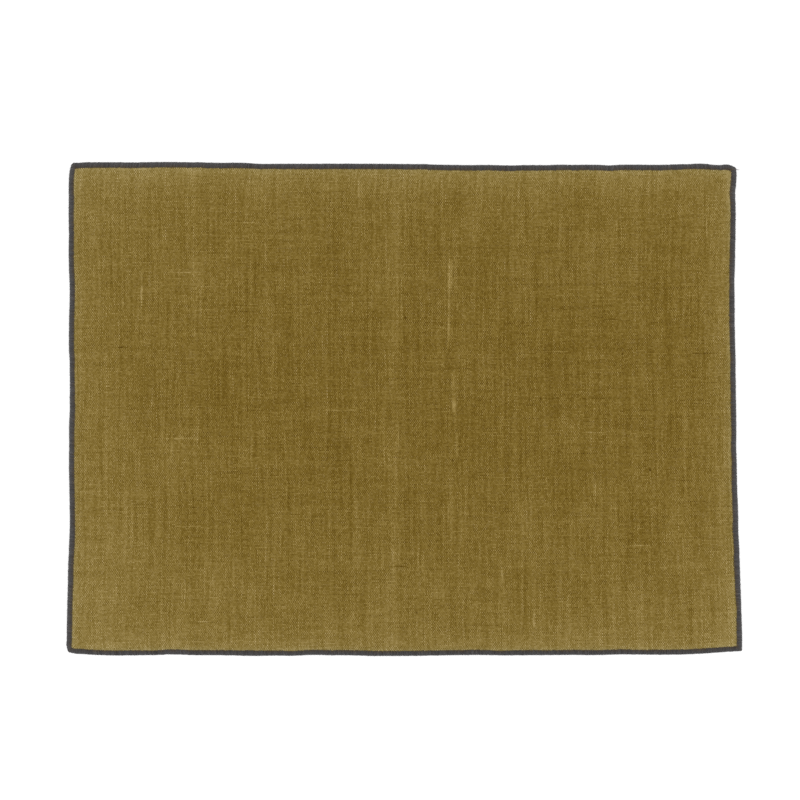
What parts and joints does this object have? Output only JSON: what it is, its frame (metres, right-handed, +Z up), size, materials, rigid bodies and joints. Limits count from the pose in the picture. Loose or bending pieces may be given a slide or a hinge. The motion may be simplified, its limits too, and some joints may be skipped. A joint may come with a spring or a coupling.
{
  "type": "fabric placemat",
  "caption": "Rectangular linen placemat: one flat plain-woven olive panel, its raw edges bound in charcoal overlock thread, with a soft fold crease across its middle.",
  "frame": {"origin": "on the table under the middle of the mat: the middle of the bounding box, at its bottom", "axes": "+X along the long side, to the right in the picture; +Y towards the back edge, the upper one in the picture; +Z up from the table"},
  "size_m": [0.4832, 0.3534, 0.0025],
  "materials": {
    "linen": "matt plain weave with slubs",
    "thread": "matt twisted thread"
  },
  "bodies": {
    "root": {"cloth_panel": "linen", "edging_back": "thread", "edging_front": "thread", "edging_left": "thread", "edging_right": "thread"}
  },
  "joints": []
}
